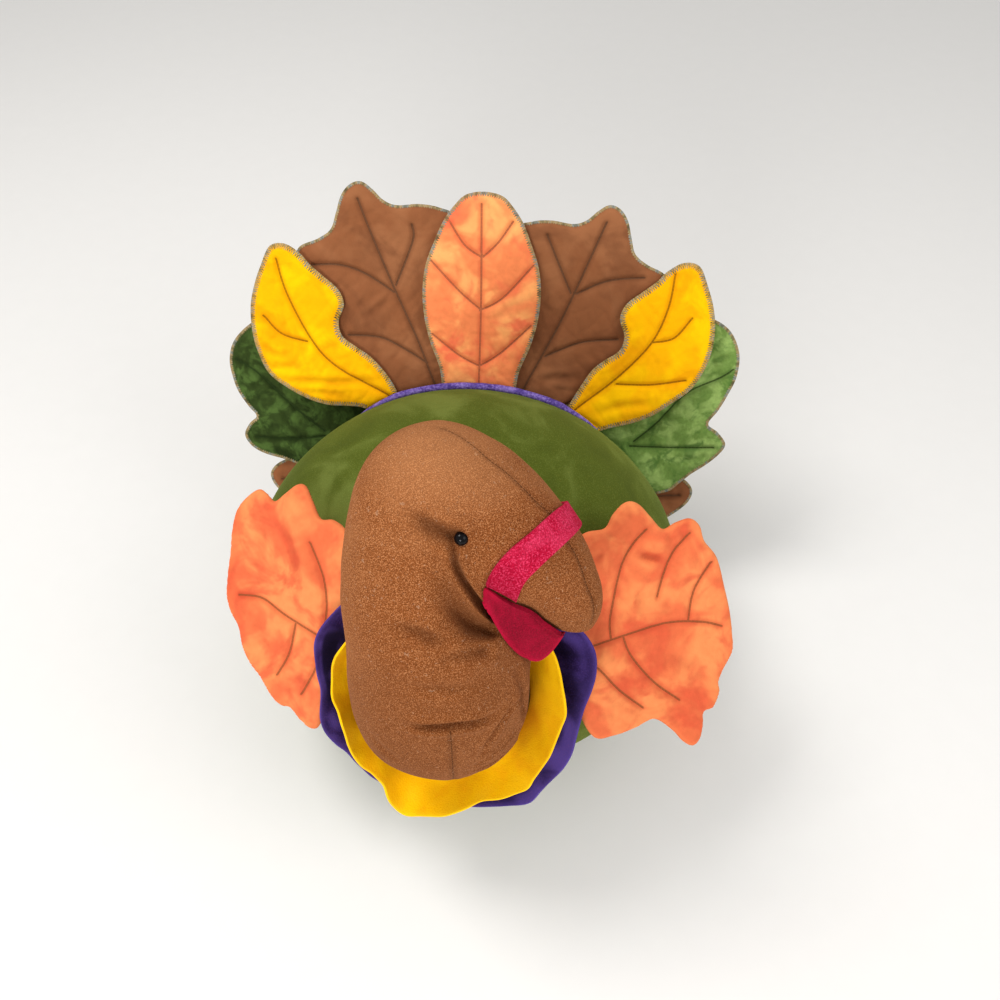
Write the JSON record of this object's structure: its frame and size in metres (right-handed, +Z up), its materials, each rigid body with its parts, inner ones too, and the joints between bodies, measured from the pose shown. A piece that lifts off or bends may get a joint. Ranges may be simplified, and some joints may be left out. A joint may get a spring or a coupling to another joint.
{
  "type": "stuffed turkey centrepiece",
  "caption": "Weighted round velour turkey on a flat base, with a curved fleece neck and head, a fan tail and wings of quilted leaves, and wavy cloth collars.",
  "frame": {"origin": "middle of the flat underside of the base, on the surface the figure stands on", "axes": "+Z up, the turkey faces -Y, +X is the turkey's left"},
  "size_m": [0.3277, 0.3189, 0.2866],
  "materials": {
    "velour": "olive green velour with a short soft pile",
    "fleece": "matt brown micro-fleece",
    "filling": "white polyester fibre filling",
    "pellets": "cloth pouch of pellets",
    "leaf_orange": "mottled orange quilted cotton with stitched veins",
    "leaf_brown": "brown quilted cotton with a zigzag edge",
    "leaf_yellow": "golden yellow quilted cotton with a zigzag edge",
    "leaf_green": "mottled green quilted cotton with a zigzag edge",
    "felt_purple": "purple cloth with a soft sheen",
    "felt_yellow": "golden yellow cloth",
    "felt_red": "crimson fleece",
    "bead": "glossy black",
    "thread": "black sewing thread"
  },
  "bodies": {
    "body": {"body_cover_front": "velour", "body_cover_back": "velour", "base_panel": "velour", "body_stuffing": "filling", "weight_pouch": "pellets", "tail_leaf_orange": "leaf_orange", "tail_leaf_yellow_left": "leaf_yellow", "tail_leaf_yellow_right": "leaf_yellow", "tail_leaf_brown_left": "leaf_brown", "tail_leaf_brown_right": "leaf_brown", "tail_leaf_green_left": "leaf_green", "tail_leaf_green_right": "leaf_green", "tail_leaf_lower_left": "leaf_brown", "tail_leaf_lower_right": "leaf_brown", "tail_welt": "felt_purple", "collar_purple": "felt_purple", "collar_yellow": "felt_yellow"},
    "neck": {"neck_cover": "fleece", "neck_stuffing": "filling", "eye_left": "bead", "eye_right": "bead", "eye_thread": "thread", "snood_strip": "felt_red"},
    "left_wing": {"wing_left": "leaf_orange"},
    "right_wing": {"wing_right": "leaf_orange"},
    "wattle": {"wattle": "felt_red"}
  },
  "joints": [
    {"name": "neck_nod", "type": "hinge", "parent": "body", "child": "neck", "pos_m": [0, -0.11201, 0.1325], "axis": [1, 0, 0], "range_deg": [-6, 10], "stiffness_Nm_per_rad": 3},
    {"name": "left_wing_lift", "type": "hinge", "parent": "body", "child": "left_wing", "pos_m": [0.06206, -0.0935, 0.13903], "axis": [0.2961, -0.5191, -0.8018], "range_deg": [0, 25], "stiffness_Nm_per_rad": 0.1},
    {"name": "right_wing_lift", "type": "hinge", "parent": "body", "child": "right_wing", "pos_m": [-0.05359, -0.09833, 0.13903], "axis": [0.2961, 0.5191, 0.8018], "range_deg": [0, 25], "stiffness_Nm_per_rad": 0.1},
    {"name": "wattle_lift", "type": "hinge", "parent": "neck", "child": "wattle", "pos_m": [0.02748, -0.12151, 0.24233], "axis": [-0.619, -0.206, 0.7579], "range_deg": [0, 20], "stiffness_Nm_per_rad": 0.02}
  ]
}
